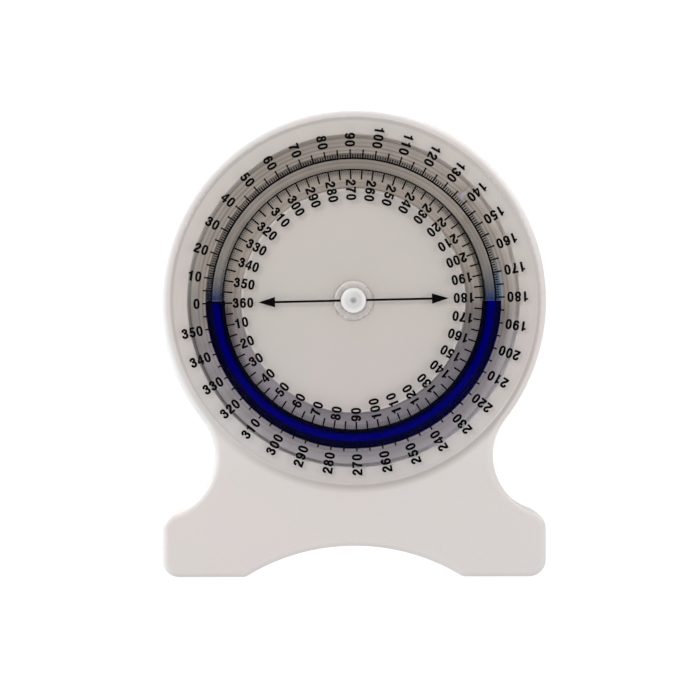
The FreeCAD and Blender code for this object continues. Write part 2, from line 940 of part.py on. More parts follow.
rear_washer = new_body("rear_washer", D["hub_height"])
sk = new_sketch(rear_washer, "rear_washer_section", "XY_Plane")
spring_y = D["rear_washer_front_y"] + D["rear_washer_thick"]
rectangle(
    sk,
    D["washer_in"],
    D["rear_washer_out"],
    D["rear_washer_front_y"],
    spring_y,
)
revolve(rear_washer, "rear_washer_turned", sk)

spring_washer = new_body("spring_washer", D["hub_height"])
sk = new_sketch(spring_washer, "spring_section", "XY_Plane")
loop(
    sk,
    [
        (D["spring_out"], spring_y),
        (D["spring_out"], spring_y + D["spring_thick"]),
        (D["spring_in"], spring_y + D["spring_rise"] + D["spring_thick"]),
        (D["spring_in"], spring_y + D["spring_rise"]),
    ],
)
revolve(spring_washer, "spring_turned", sk)

# snap ring: an open ring with three prongs that reach into the groove
clip_y = spring_y + D["spring_rise"] + D["spring_thick"]
retaining_ring = new_body("retaining_ring", D["hub_height"])
sk = face_sketch(retaining_ring, "clip_disc", clip_y + D["clip_thick"])
circle(sk, 0, 0, D["clip_out"])
circle(sk, 0, 0, D["clip_grip"])
pad(retaining_ring, "clip_blank", sk, D["clip_thick"])
doc.recompute()
sk = face_sketch(retaining_ring, "clip_mouth_sketch", clip_y)
rectangle(
    sk,
    -D["clip_mouth"] / 2,
    D["clip_mouth"] / 2,
    -D["clip_out"] - 1,
    0,
)
pocket(retaining_ring, "clip_mouth_cut", sk, D["clip_thick"] + 1)
sk = face_sketch(retaining_ring, "clip_relief_sketch", clip_y)
inner = D["clip_in"]
p = D["clip_prong"] / 2
# two reliefs between the top prong and the side prongs
for s in (1, -1):
    lo, hi = D["clip_prong"] / 2, root(inner * inner - p * p)
    edge_side = s * lo
    steps = [
        (edge_side, p),
        (s * hi, p, (0, 0, s > 0, "radius", inner)),
        (edge_side, hi),
    ]
    loop(sk, steps)
pocket(retaining_ring, "clip_reliefs", sk, D["clip_thick"] + 1)
doc.recompute()

# ---------------------------------------------------------------- check and write
NODES = [
    (front_housing, 1),
    (rear_cover, 1),
    (cover_screws, 4),
    (dial_lens, 1),
    (channel_ring, 1),
    (fill_plug, 1),
    (indicator_fluid, 1),
    (hub_pin, 1),
    (front_washer, 1),
    (rear_washer, 1),
    (spring_washer, 1),
    (retaining_ring, 1),
]

for obj in doc.Objects:
    states = set(obj.State)
    if "Invalid" in states or "Error" in states:
        raise ValueError("%s failed: %s" % (obj.Name, sorted(states)))

os.makedirs("parts", exist_ok=True)
for obj, count in NODES:
    shape = obj.Shape
    if shape.isNull() or not shape.isValid():
        raise ValueError("%s has no valid shape" % obj.Label)
    if len(shape.Solids) != count:
        raise ValueError("%s has %d solids" % (obj.Label, len(shape.Solids)))

for obj, count in NODES:
    shape = obj.Shape
    shape.exportStep(os.path.join("parts", obj.Label + ".step"))
    b = shape.BoundBox
    print(
        "%-18s %8.1f mm3  x %.2f..%.2f  y %.2f..%.2f  z %.2f..%.2f"
        % (obj.Label, shape.Volume, b.XMin, b.XMax, b.YMin, b.YMax, b.ZMin, b.ZMax)
    )
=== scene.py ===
import math

import bpy
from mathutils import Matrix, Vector
from mathutils.geometry import delaunay_2d_cdt


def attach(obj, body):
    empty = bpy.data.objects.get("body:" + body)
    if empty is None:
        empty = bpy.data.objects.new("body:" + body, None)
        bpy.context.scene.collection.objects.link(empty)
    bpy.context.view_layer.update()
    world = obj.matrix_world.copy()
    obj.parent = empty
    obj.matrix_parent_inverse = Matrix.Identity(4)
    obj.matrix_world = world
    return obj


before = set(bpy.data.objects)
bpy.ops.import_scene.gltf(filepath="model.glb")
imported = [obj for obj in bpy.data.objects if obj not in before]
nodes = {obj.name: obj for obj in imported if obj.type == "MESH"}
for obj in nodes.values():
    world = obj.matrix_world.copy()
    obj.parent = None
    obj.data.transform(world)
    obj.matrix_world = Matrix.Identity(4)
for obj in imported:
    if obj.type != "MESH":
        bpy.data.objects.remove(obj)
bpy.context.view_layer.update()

MM = 0.001
HUB_X, HUB_Z = 0.0, 72.8          # dial axis, mm
LENS_Y = -8.6                     # front face of the clear dial
BEAD_MID, BEAD_HALF = 4.3, 0.8    # rounded bead round the hub: middle radius and half its width
BEAD_CURVE, BEAD_HIGH = 1.16, 0.32
BORE_MID = 36.5                   # middle radius of the channel's bore
INK = 0.045                       # thickness of the ink
PRINT_TURN = 1.15                 # the dial stands a little off level, degrees
BOLD = 24.0                       # how far each figure's outline is moved out, on its grid of 1000

scene = bpy.context.scene


# ---------------------------------------------------------------- node helpers
class Paint:
    """A node material under construction."""

    def __init__(self, name):
        self.mat = bpy.data.materials.new(name)
        self.mat.use_nodes = True
        self.tree = self.mat.node_tree
        self.tree.nodes.clear()
        self.out = self.tree.nodes.new("ShaderNodeOutputMaterial")
        self.bsdf = self.tree.nodes.new("ShaderNodeBsdfPrincipled")
        self.tree.links.new(self.bsdf.outputs[0], self.out.inputs["Surface"])
        self.place = None

    def set(self, **values):
        names = {
            "color": "Base Color", "rough": "Roughness", "metal": "Metallic", "ior": "IOR",
            "clear": "Transmission Weight", "alpha": "Alpha", "coat": "Coat Weight",
            "coat_rough": "Coat Roughness", "spec": "Specular IOR Level", "sss": "Subsurface Weight",
            "sss_scale": "Subsurface Scale", "sss_radius": "Subsurface Radius", "sheen": "Sheen Weight",
            "aniso": "Anisotropic", "normal": "Normal", "emit": "Emission Color", "emit_power": "Emission Strength",
        }
        for key, value in values.items():
            socket = self.bsdf.inputs[names[key]]
            if isinstance(value, bpy.types.NodeSocket):
                self.tree.links.new(value, socket)
            else:
                if key in ("color", "emit") and len(value) == 3:
                    value = (*value, 1.0)
                socket.default_value = value
        return self

    def new(self, kind, **settings):
        n = self.tree.nodes.new(kind)
        for key, value in settings.items():
            setattr(n, key, value)
        return n

    def put(self, value, socket):
        if isinstance(value, bpy.types.NodeSocket):
            self.tree.links.new(value, socket)
        elif value is not None:
            socket.default_value = value

    def object_place(self):
        if self.place is None:
            self.place = self.new("ShaderNodeTexCoord").outputs["Object"]
        return self.place

    def vec(self, operation, a, b=None, scale=None):
        n = self.new("ShaderNodeVectorMath", operation=operation)
        self.put(a, n.inputs[0])
        self.put(b, n.inputs[1])
        if scale is not None:
            self.put(scale, n.inputs["Scale"])
        return n.outputs["Value"] if operation in ("LENGTH", "DOT_PRODUCT", "DISTANCE") else n.outputs["Vector"]

    def math(self, operation, a, b=None, c=None, clamp=False):
        n = self.new("ShaderNodeMath", operation=operation, use_clamp=clamp)
        for value, socket in zip((a, b, c), n.inputs):
            self.put(value, socket)
        return n.outputs[0]

    def split(self, vector):
        n = self.new("ShaderNodeSeparateXYZ")
        self.put(vector, n.inputs[0])
        return n.outputs

    def join(self, x, y, z):
        n = self.new("ShaderNodeCombineXYZ")
        for value, socket in zip((x, y, z), n.inputs):
            self.put(value, socket)
        return n.outputs[0]

    def ramp(self, fac, stops, interpolation="LINEAR"):
        n = self.new("ShaderNodeValToRGB")
        n.color_ramp.interpolation = interpolation
        points = n.color_ramp.elements
        while len(points) < len(stops):
            points.new(1.0)
        for point, (at, colour) in zip(points, stops):
            point.position = at
        for point, (at, colour) in zip(points, stops):
            point.color = (*colour, 1.0) if len(colour) == 3 else colour
        self.put(fac, n.inputs[0])
        return n.outputs[0]

    def map(self, value, lo, hi, to_lo=0.0, to_hi=1.0, kind="LINEAR"):
        n = self.new("ShaderNodeMapRange", interpolation_type=kind, clamp=True)
        for v, socket in zip((value, lo, hi, to_lo, to_hi), n.inputs):
            self.put(v, socket)
        return n.outputs[0]

    def mix(self, fac, a, b, blend="MIX"):
        n = self.new("ShaderNodeMix", data_type="RGBA", blend_type=blend)
        self.put(fac, n.inputs["Factor"])
        for value, socket in ((a, n.inputs[6]), (b, n.inputs[7])):
            if isinstance(value, tuple) and len(value) == 3:
                value = (*value, 1.0)
            self.put(value, socket)
        return n.outputs[2]

    def noise(self, where, scale, detail=3.0, rough=0.5, dims="3D", distortion=0.0):
        n = self.new("ShaderNodeTexNoise", noise_dimensions=dims)
        self.put(where, n.inputs["W" if dims == "1D" else "Vector"])
        n.inputs["Scale"].default_value = scale
        n.inputs["Detail"].default_value = detail
        n.inputs["Roughness"].default_value = rough
        n.inputs["Distortion"].default_value = distortion
        return n.outputs[0]

    def bump(self, height, strength, distance, normal=None):
        n = self.new("ShaderNodeBump")
        n.inputs["Strength"].default_value = strength
        n.inputs["Distance"].default_value = distance
        self.put(height, n.inputs["Height"])
        self.put(normal, n.inputs["Normal"])
        return n.outputs[0]

    def polar(self):
        """Radius in mm and angle in radians round the dial axis, and depth in mm."""
        x, y, z = self.split(self.object_place())
        dx = self.math("MULTIPLY", x, 1000.0)
        dz = self.math("MULTIPLY_ADD", z, 1000.0, -HUB_Z)
        r = self.math("SQRT", self.math("ADD", self.math("MULTIPLY", dx, dx), self.math("MULTIPLY", dz, dz)))
        angle = self.math("ARCTAN2", dz, dx)
        depth = self.math("MULTIPLY", y, 1000.0)
        return r, angle, depth, dx, dz


def srgb(*c):
    """Linear colour from 0-255 display values."""
    return tuple((v / 255 / 12.92) if v <= 10.31 else ((v / 255 + 0.055) / 1.055) ** 2.4 for v in c)


def coat_with(ob, mat):
    ob.data.materials.clear()
    ob.data.materials.append(mat)


# ---------------------------------------------------------------- materials
def white_abs(name, with_trough):
    """Satin white moulded plastic, with some light and shade painted into its colour. In the head of the front housing,
    the ring-shaped trough behind the dial is in deep shade, and more light and shade are painted into the trough.
    """
    p = Paint(name)
    where = p.object_place()
    # broad uneven tone of the moulding, and a fine grain
    broad = p.noise(where, 28.0, 2.0, 0.5)
    fine = p.noise(where, 900.0, 2.0, 0.55)
    tone = p.ramp(broad, [(0.30, srgb(218, 209, 207)), (0.50, srgb(217, 211, 208)), (0.70, srgb(216, 211, 208))])
    tone = p.mix(p.map(fine, 0.3, 0.7, 0.0, 0.045), tone, srgb(196, 191, 188))
    # painted shade: the edges that turn down are a little darker
    normal = p.new("ShaderNodeNewGeometry").outputs["Normal"]
    down = p.vec("DOT_PRODUCT", normal, (0.0, 0.0, -1.0))
    tone = p.mix(p.map(down, 0.2, 0.9, 0.0, 0.26), tone, srgb(140, 134, 132))
    # painted light: the edges that turn to the left are a little paler and cooler
    leftward = p.vec("DOT_PRODUCT", normal, (-1.0, 0.0, 0.0))
    tone = p.mix(p.map(leftward, 0.1, 0.7, 0.0, 0.4), tone, srgb(240, 242, 240))
    if with_trough:
        r, angle, depth, dx, dz = p.polar()
        # concentric streaks about a millimetre apart, that come and go round the trough
        wave = p.math("COSINE", p.math("MULTIPLY", p.math("SUBTRACT", r, 42.9), 2 * math.pi / 1.07))
        come = p.noise(p.join(p.math("MULTIPLY", r, 0.5), p.math("MULTIPLY", angle, 0.9), 0.0), 1.2, 2.0, 0.5)
        streak_r = p.noise(p.math("MULTIPLY", r, 1.0), 2.6, 3.0, 0.62, dims="1D")
        streaks = p.math("ADD", p.math("MULTIPLY", streak_r, 0.5), p.math("MULTIPLY", p.math("MULTIPLY_ADD", wave, 0.5, 0.5), p.math("MULTIPLY_ADD", come, 0.5, 0.22)))
        grey = p.ramp(streaks, [(0.24, srgb(182, 173, 166)), (0.5, srgb(206, 197, 190)), (0.76, srgb(230, 222, 215))])
        calm = p.math("MAXIMUM", p.map(r, 41.4, 40.6, 0.0, 0.45), p.map(dx, 8.0, 28.0, 0.0, 0.4))
        low_right = p.map(p.math("COSINE", p.math("SUBTRACT", angle, math.radians(-60))), 0.5, 0.95)
        lower = p.map(dz, 2.0, -16.0, 0.0, 1.0, "SMOOTHSTEP")
        calm = p.math("MAXIMUM", calm, p.math("MULTIPLY", lower, p.map(r, 34.0, 33.0, 0.0, 0.8)))
        grey = p.mix(calm, grey, srgb(206, 197, 190))
        # painted shade: seen through the air in the bore the trough is darker towards the outside, but not at the sides
        across = p.math("COSINE", angle)
        bore = p.math("MULTIPLY", p.map(r, 33.9, 34.6), p.map(r, 39.3, 38.8))
        deep = p.math("MULTIPLY", p.map(across, 0.2, 0.6, 1.0, 0.1), p.map(across, -0.85, -1.0, 1.0, 0.4))
        grey = p.mix(p.math("MULTIPLY", p.math("MULTIPLY", bore, deep), p.map(r, 34.6, 38.0, 0.02, 0.34)), grey, srgb(84, 78, 74))
        grey = p.mix(p.math("MULTIPLY", bore, p.map(across, 0.6, 0.8, 0.0, 0.17)), grey, srgb(84, 78, 74))
        # painted light: under the bore the trough is paler at the left and right sides
        side = p.map(p.math("POWER", p.math("ABSOLUTE", across), 4.0), 0.0, 1.0, 0.0, p.map(across, -0.2, 0.2, 0.4, 0.2))
        grey = p.mix(p.math("MULTIPLY", bore, side), grey, srgb(242, 236, 232))
        # painted light: the lower half is painted paler and cooler, and the floor in the outer corner, which lies in
        # shade, is painted paler
        pale = p.math("MULTIPLY", p.map(r, 34.0, 41.5, 0.5, 0.82), p.map(across, -0.8, 0.1, 0.82, 1.0))
        grey = p.mix(p.math("MULTIPLY", lower, pale), grey, srgb(244, 237, 233))
        corner = p.math("MULTIPLY_ADD", p.math("POWER", p.math("ABSOLUTE", across), 4.0), p.map(across, -0.3, 0.3, 0.32, 0.16), p.math("MULTIPLY_ADD", lower, 0.4, 0.5))
        corner = p.math("SUBTRACT", corner, p.map(p.math("COSINE", p.math("SUBTRACT", angle, math.radians(130))), 0.7, 1.0, 0.0, 0.3))
        grey = p.mix(p.math("MULTIPLY", p.map(r, 41.3, 42.5), p.math("MINIMUM", corner, 0.97)), grey, srgb(254, 248, 244))
        # painted shade: at the top the outer band is a little darker
        grey = p.mix(p.math("MULTIPLY", p.map(r, 39.3, 39.7), p.map(p.math("SINE", angle), 0.75, 1.0, 0.0, 0.17)), grey, srgb(140, 133, 126))
        # painted light: the upper half of the inner band is warmer and paler
        warm = p.math("MULTIPLY", p.map(r, 33.6, 32.8), p.map(dz, 0.0, 14.0, 0.0, 0.28))
        grey = p.mix(warm, grey, srgb(246, 233, 221))
        # painted light: the inner edge of the trough is paler at the upper left
        upper_left = p.map(p.math("COSINE", p.math("SUBTRACT", angle, math.radians(150))), 0.5, 1.0, 0.0, 0.7)
        grey = p.mix(p.math("MULTIPLY", p.map(r, 31.2, 30.4), upper_left), grey, srgb(247, 240, 236))
        # painted shade: the inner edge of the trough is darker at the lower right
        dusk = p.math("MAXIMUM", p.map(r, 30.5, 29.9, 0.0, 0.55), p.map(r, 32.4, 29.7, 0.0, 0.22))
        grey = p.mix(p.math("MULTIPLY", dusk, low_right), grey, srgb(120, 113, 116))
        # painted light: a paler band between the inner edge and the bore at the lower right
        grey = p.mix(p.math("MULTIPLY", p.math("MULTIPLY", p.map(r, 31.6, 32.6), p.map(r, 34.4, 33.8)), p.math("MULTIPLY", low_right, 0.3)), grey, srgb(250, 246, 244))
        # painted cool reflected light: the lower half is tinted blue, less so in the outer band
        chill = p.math("MULTIPLY", lower, p.map(r, 39.3, 41.2, 1.0, 0.5))
        grey = p.mix(chill, grey, p.mix(1.0, grey, (0.98, 0.97, 1.13), "MULTIPLY"))
        # painted shade: the outer wall is darkest at the lower left
        low_left = p.map(p.math("COSINE", p.math("SUBTRACT", angle, math.radians(-135))), 0.2, 1.0, 0.0, 0.65)
        grey = p.mix(p.math("MULTIPLY", p.map(r, 43.3, 43.5), low_left), grey, srgb(110, 104, 104))
        # blue light from the liquid's right end falls beside the bore
        beside = p.math("MULTIPLY", p.map(r, 38.6, 38.9), p.map(r, 40.6, 39.4))
        beside = p.math("MULTIPLY", p.math("MULTIPLY", beside, p.map(across, 0.94, 0.99)), p.map(dz, -1.0, 1.0))
        grey = p.mix(p.math("MULTIPLY", beside, 0.6), grey, srgb(176, 194, 214))
        inside = p.map(depth, -6.2, -5.4, 0.0, 1.0)
        near = p.math("MULTIPLY", p.map(r, 29.3, 29.45), p.map(r, 43.9, 43.75))
        tone = p.mix(p.math("MULTIPLY", inside, near), tone, grey)
        # behind the lower half of the dial the white is cooler
        cool = p.math("MULTIPLY", p.map(dz, -6.0, -34.0), p.map(r, 48.6, 47.9))
        tone = p.mix(cool, tone, p.mix(1.0, tone, (1.0, 1.015, 1.04), "MULTIPLY"))
        # the rim takes on the cool light of the left
        head = p.math("MULTIPLY", p.map(r, 48.9, 49.6), p.map(dz, -37.0, -32.0))
        rim = p.math("MULTIPLY", head, p.map(p.math("COSINE", p.math("SUBTRACT", angle, math.radians(165))), -0.35, 0.9))
        tone = p.mix(rim, tone, p.mix(1.0, tone, (1.0, 1.035, 1.065), "MULTIPLY"))
        # painted shade: the rim is a little darker at the lower right
        rim_far = p.math("MULTIPLY", head, p.map(p.math("COSINE", p.math("SUBTRACT", angle, math.radians(-32))), 0.55, 0.95, 0.0, 0.13))
        tone = p.mix(rim_far, tone, srgb(150, 143, 140))
        # painted highlight: a pale line along the trough's inner edge
        lip = p.math("MULTIPLY", p.map(r, 28.9, 29.15), p.map(r, 29.7, 29.5))
        tone = p.mix(p.math("MULTIPLY", p.math("MULTIPLY", lip, p.map(depth, -5.4, -5.8)), 0.5), tone, srgb(248, 243, 240))
        # painted shade: the neck and the feet are a touch darker
        tone = p.mix(p.map(dz, -36.0, -46.0, 0.0, 0.07), tone, srgb(150, 145, 142))
        # a faint line of shade where the disc meets the stand at the top
        meet = p.math("MULTIPLY", p.map(r, 48.0, 48.15), p.map(r, 48.65, 48.35))
        tone = p.mix(p.math("MULTIPLY", meet, p.map(dz, 5.0, 26.0, 0.0, 0.24)), tone, srgb(150, 145, 142))
        # soft shade on the stand beside the disc, on the side away from the light
        shade = p.math("MULTIPLY", p.map(r, 48.2, 48.6), p.map(r, 50.7, 49.1))
        away = p.math("MULTIPLY_ADD", p.math("COSINE", p.math("SUBTRACT", angle, math.radians(-48))), 0.5, 0.5)
        shade = p.math("MULTIPLY", shade, p.map(away, 0.25, 0.95, 0.0, 0.44))
        tone = p.mix(p.math("MULTIPLY", shade, p.map(depth, -6.3, -6.45)), tone, srgb(126, 112, 106))
    p.set(color=tone, rough=p.map(fine, 0.2, 0.8, 0.36, 0.46), spec=0.42)
    p.set(normal=p.bump(fine, 0.08, 0.00006))
    return p.mat


def clear_acrylic(name, passed, edge, gloss, disc=False):
    """Clear acrylic. It lets light straight through, shines like a polished sheet, and darkens where it is seen along its walls.
    The disc carries its tint on its front face only, and shines only on the faces that meet the air outside."""
    p = Paint(name)
    tree = p.tree
    tree.nodes.remove(p.bsdf)
    facing = p.new("ShaderNodeLayerWeight")
    facing.inputs["Blend"].default_value = 0.5
    facing = facing.outputs["Facing"]
    haze = p.noise(p.object_place(), 260.0, 3.0, 0.5)
    normal = p.bump(haze, 0.015, 0.00003)
    open_ = p.new("ShaderNodeBsdfTransparent")
    shine_fac = p.math("MULTIPLY", p.math("POWER", facing, 6.0), 0.04)
    painted_bead_light = None
    if disc:
        r, angle, depth, dx, dz = p.polar()
        front = p.map(depth, -8.3, -8.4, 0.0, 1.0)
        outer = p.math("MAXIMUM", front, p.map(r, 47.35, 47.45, 0.0, 1.0))
        seen = p.mix(front, (1.0, 1.0, 1.0), passed)
        # painted shade: a dark line in the rounded edge, where it bends the light away, most at the upper left
        band_ = p.math("MULTIPLY", p.map(r, 47.15, 47.6), p.map(r, 48.1, 47.75))
        to_light = p.math("MULTIPLY_ADD", p.math("COSINE", p.math("SUBTRACT", angle, math.radians(135))), 0.5, 0.5)
        seen = p.mix(p.math("MULTIPLY", band_, p.map(to_light, 0.3, 1.0, 0.02, 0.14)), seen, (0.30, 0.29, 0.28))
        # bead round the hub: painted shade on the flank away from the light, a painted pale line on the other, and
        # painted light over the whole bead
        flank_out = p.math("MULTIPLY", p.map(r, 4.45, 4.72), p.map(r, 5.14, 4.96))
        flank_in = p.math("MULTIPLY", p.map(r, 3.45, 3.6), p.map(r, 4.0, 3.82))
        shade_out = p.math("MULTIPLY", flank_out, p.map(to_light, 0.55, 0.0, 0.0, 0.06))
        seen = p.mix(p.math("MULTIPLY", front, p.math("MAXIMUM", shade_out, p.math("MULTIPLY", flank_in, 0.03))), seen, (0.30, 0.29, 0.28))
        bead = p.math("MULTIPLY", p.map(r, 3.45, 3.6), p.map(r, 5.14, 4.96))
        painted_bead_light = p.math("MULTIPLY_ADD", flank_out, p.map(to_light, 0.45, 1.0, 0.0, 0.24), p.math("MULTIPLY", bead, 0.26))
        painted_bead_light = p.math("MULTIPLY", front, painted_bead_light)
        # painted shade: the walls of the bore are darker, the inner one only where it holds air
        across = p.math("COSINE", angle)
        end = p.math("MULTIPLY_ADD", across, 0.2, r)
        begin = p.math("MULTIPLY_ADD", across, -0.15, r)
        bore = p.math("MULTIPLY", p.map(begin, 37.35, 37.75), p.map(end, 39.1, 38.8))
        high = p.math("SINE", angle)
        bore = p.math("MULTIPLY", bore, p.math("ADD", p.map(across, 0.0, 0.8, 0.66, 0.2), p.map(high, 0.8, 1.0, 0.0, 0.18)))
        start = p.math("MULTIPLY_ADD", across, 0.2, r)
        early = p.math("MULTIPLY_ADD", p.map(high, 0.2, 1.0), 0.25, start)
        bore_in = p.math("MULTIPLY", p.map(early, 33.5, 33.95), p.map(start, 35.15, 34.9))
        much = p.math("MULTIPLY_ADD", p.math("MULTIPLY", across, across), 0.34, p.math("MULTIPLY_ADD", across, 0.17, 0.42))
        bore_in = p.math("MULTIPLY", bore_in, much)
        bore = p.math("ADD", bore, p.math("MULTIPLY", bore_in, p.map(dz, -1.0, 1.0)))
        bore = p.math("MULTIPLY", p.map(depth, -6.7, -6.6), bore)
        seen = p.mix(bore, seen, (0.42, 0.41, 0.40))
        seen = p.mix(p.math("MULTIPLY", p.math("POWER", facing, 3.0), 0.45), seen, edge)
        shine_fac = p.mix(outer, shine_fac, p.math("MULTIPLY_ADD", p.math("POWER", facing, 5.0), 0.9, 0.003))
        tree.links.new(seen, open_.inputs["Color"])
    else:
        tree.links.new(p.mix(p.math("POWER", facing, 2.6), passed, edge), open_.inputs["Color"])
    shine = p.new("ShaderNodeBsdfGlossy")
    shine.inputs["Color"].default_value = (1, 1, 1, 1)
    shine.inputs["Roughness"].default_value = gloss
    tree.links.new(normal, shine.inputs["Normal"])
    both = p.new("ShaderNodeMixShader")
    tree.links.new(shine_fac, both.inputs[0])
    tree.links.new(open_.outputs[0], both.inputs[1])
    tree.links.new(shine.outputs[0], both.inputs[2])
    last = both
    # painted light: a pale diffuse layer over the bead
    if painted_bead_light is not None:
        pale = p.new("ShaderNodeBsdfDiffuse")
        pale.inputs["Color"].default_value = (0.86, 0.85, 0.84, 1.0)
        last = p.new("ShaderNodeMixShader")
        tree.links.new(painted_bead_light, last.inputs[0])
        tree.links.new(both.outputs[0], last.inputs[1])
        tree.links.new(pale.outputs[0], last.inputs[2])
    tree.links.new(last.outputs[0], p.out.inputs["Surface"])
    return p.mat


def blue_liquid():
    """Dyed liquid with painted light and shade: bright where the light goes through the middle of the bore, nearly
    black along its walls.
    """
    p = Paint("blue_liquid_look")
    r, angle, depth, dx, dz = p.polar()
    across = p.math("SUBTRACT", r, BORE_MID)
    wave = p.noise(p.join(p.math("MULTIPLY", angle, 2.2), 0.0, 0.0), 1.6, 2.0, 0.5)
    core = p.ramp(
        p.map(across, -2.55, 2.55),
        [
            (0.0, srgb(2, 3, 38)), (0.14, srgb(1, 2, 46)), (0.24, srgb(1, 1, 74)), (0.33, srgb(0, 0, 122)),
            (0.44, srgb(0, 0, 128)), (0.54, srgb(0, 0, 127)), (0.65, srgb(0, 0, 120)), (0.75, srgb(0, 0, 106)),
            (0.85, srgb(1, 1, 78)), (1.0, srgb(2, 2, 70)),
        ],
    )
    colour = p.mix(p.map(wave, 0.3, 0.75, 0.0, 0.12), core, p.mix(1.0, core, (1.2, 1.2, 1.3), "MULTIPLY"))
    # painted shade: the left end is darker just under its surface
    end = p.math("MULTIPLY", p.map(dz, -2.4, 0.0), p.map(dx, 0.0, -1.0))
    colour = p.mix(end, colour, p.mix(1.0, colour, (0.4, 0.4, 0.4), "MULTIPLY"))
    p.set(color=colour, rough=0.4, spec=0.0)
    return p.mat


def wet_film(name, left):
    """A thin blue sheet in the bore just above the liquid, which tints and darkens what is seen there. It fades out
    upwards, first in the middle and last along the walls.
    """
    p = Paint(name)
    r, angle, depth, dx, dz = p.polar()
    across = p.math("SUBTRACT", r, BORE_MID)
    outer = p.map(across, 0.9, 1.7, 0.0, 1.0, "SMOOTHSTEP")
    inner = p.map(across, -1.5, -2.1, 0.0, 1.0, "SMOOTHSTEP")
    ragged = p.math("MULTIPLY_ADD", p.noise(p.object_place(), 700.0, 3.0, 0.55), 1.2, -0.6)
    up = p.math("MAXIMUM", p.math("ADD", dz, ragged), 0.0)
    # both faces of the shell act, so each carries about half
    levels = [(0.0, 0.75), (0.03, 0.64), (0.08, 0.45), (0.135, 0.345), (0.185, 0.26), (0.24, 0.21), (0.29, 0.14), (0.39, 0.07), (0.52, 0.03), (0.66, 0.0)]
    middle = p.ramp(p.map(up, 0.0, 24.0), [(at, (v, v, v)) for at, v in levels])
    if left:
        wall_out = p.map(up, 0.0, 9.0, 0.70, 0.04)
        strip = p.mix(p.map(up, 0.5, 5.0), srgb(36, 46, 100), srgb(74, 90, 136))
    else:
        wall_out = p.map(up, 3.5, 9.5, 0.55, 0.03)
        # painted light: on the right the strip along the outer wall is pale blue, where light from the liquid gathers
        strip = p.mix(p.map(across, 1.7, 2.05), srgb(74, 112, 160), srgb(116, 158, 200))
    wall_in = p.map(up, 0.0, 7.0, 0.80, 0.12)
    alpha = p.mix(outer, p.mix(inner, middle, wall_in), wall_out)
    alpha = p.math("MULTIPLY", alpha, p.map(across, -2.45, -2.1, 0.15, 1.0))
    near = p.mix(p.map(up, 0.0, 4.0), srgb(37, 60, 124), srgb(36, 75, 104))
    colour = p.mix(outer, near, strip)
    colour = p.mix(inner, colour, srgb(24, 44, 84))
    p.set(color=colour, rough=0.5, spec=0.0, alpha=alpha)
    return p.mat


def ink_black():
    p = Paint("scale_ink_look")
    where = p.object_place()
    n = p.noise(where, 1400.0, 2.0, 0.5)
    p.set(color=p.ramp(n, [(0.3, (0.001, 0.001, 0.0012)), (0.7, (0.003, 0.003, 0.0034))]), rough=p.map(n, 0.2, 0.8, 0.62, 0.78), spec=0.02)
    return p.mat


def white_acetal():
    p = Paint("white_acetal_look")
    where = p.object_place()
    broad = p.noise(where, 260.0, 2.0, 0.5)
    fine = p.noise(where, 2200.0, 2.0, 0.5)
    tone = p.ramp(broad, [(0.3, srgb(202, 199, 198)), (0.7, srgb(206, 204, 203))])
    # painted shade: the dimple is darkest at its bottom, and the button grows paler outwards to about 2.9 mm
    r, angle, depth, dx, dz = p.polar()
    tone = p.mix(p.map(r, 1.1, 0.15, 0.0, 0.62, "SMOOTHSTEP"), tone, srgb(92, 88, 86))
    tone = p.mix(p.map(r, 1.7, 2.9, 0.0, 0.55, "SMOOTHSTEP"), tone, srgb(240, 239, 238))
    p.set(color=tone, rough=p.map(fine, 0.2, 0.8, 0.30, 0.38), spec=0.4)
    p.set(normal=p.bump(fine, 0.05, 0.00003))
    return p.mat


def plug_plastic():
    p = Paint("plug_plastic_look")
    n = p.noise(p.object_place(), 900.0, 2.0, 0.5)
    r, angle, depth, dx, dz = p.polar()
    tone = p.ramp(n, [(0.3, srgb(178, 174, 216)), (0.7, srgb(196, 192, 232))])
    p.set(color=p.mix(p.map(r, 39.5, 40.25, 0.0, 0.92), tone, srgb(206, 198, 192)), rough=0.5)
    return p.mat


def slip_plastic():
    p = Paint("slip_plastic_look")
    n = p.noise(p.object_place(), 700.0, 3.0, 0.5)
    p.set(color=p.ramp(n, [(0.3, srgb(238, 229, 226)), (0.7, srgb(242, 234, 231))]), rough=p.map(n, 0.2, 0.8, 0.42, 0.55))
    return p.mat


def steel(name, dark, light, rough):
    p = Paint(name)
    where = p.object_place()
    grain = p.noise(p.vec("MULTIPLY", where, (1.0, 0.25, 1.0)), 2600.0, 4.0, 0.6)
    patch = p.noise(where, 320.0, 3.0, 0.5)
    colour = p.ramp(p.math("ADD", p.math("MULTIPLY", grain, 0.5), p.math("MULTIPLY", patch, 0.5)), [(0.32, dark), (0.68, light)])
    p.set(color=colour, metal=1.0, rough=p.map(grain, 0.25, 0.75, rough - 0.07, rough + 0.09))
    p.set(normal=p.bump(grain, 0.10, 0.00002))
    return p.mat


housing_look = white_abs("front_housing_look", True)
cover_look = white_abs("rear_cover_look", False)
lens_look = clear_acrylic("dial_lens_look", (0.917, 0.909, 0.898), (0.55, 0.55, 0.54), 0.03, disc=True)
ring_look = clear_acrylic("channel_ring_look", (0.985, 0.985, 0.98), (0.42, 0.44, 0.43), 0.05)
liquid_look = blue_liquid()
ink_look = ink_black()
zinc_look = steel("plated_steel_look", (0.50, 0.50, 0.50), (0.66, 0.66, 0.65), 0.30)
spring_look = steel("spring_steel_look", (0.20, 0.20, 0.21), (0.33, 0.33, 0.34), 0.34)

